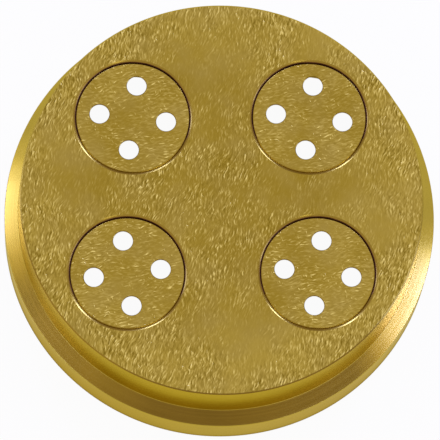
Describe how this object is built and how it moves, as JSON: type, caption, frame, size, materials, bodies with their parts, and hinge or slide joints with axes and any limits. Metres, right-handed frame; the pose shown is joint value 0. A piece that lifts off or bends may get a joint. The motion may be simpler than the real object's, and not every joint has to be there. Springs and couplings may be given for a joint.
{
  "type": "pasta extrusion die",
  "caption": "Round brass die with a seating flange, a conical shoulder and a flat front face, holding round perforated inserts that press pasta dough into strands.",
  "frame": {"origin": "centre of the back face, where the dough enters", "axes": "+Z along the die's axis towards the exit face, +X along the rows of inserts"},
  "size_m": [0.057, 0.057, 0.0156],
  "materials": {
    "die_brass": "turned rim, satin; front face rubbed with fine scratches",
    "insert_brass": "faced front, with fine scratches"
  },
  "bodies": {
    "root": {"die_body": "die_brass", "insert_rear_left": "insert_brass", "insert_rear_right": "insert_brass", "insert_front_left": "insert_brass", "insert_front_right": "insert_brass"}
  },
  "joints": []
}
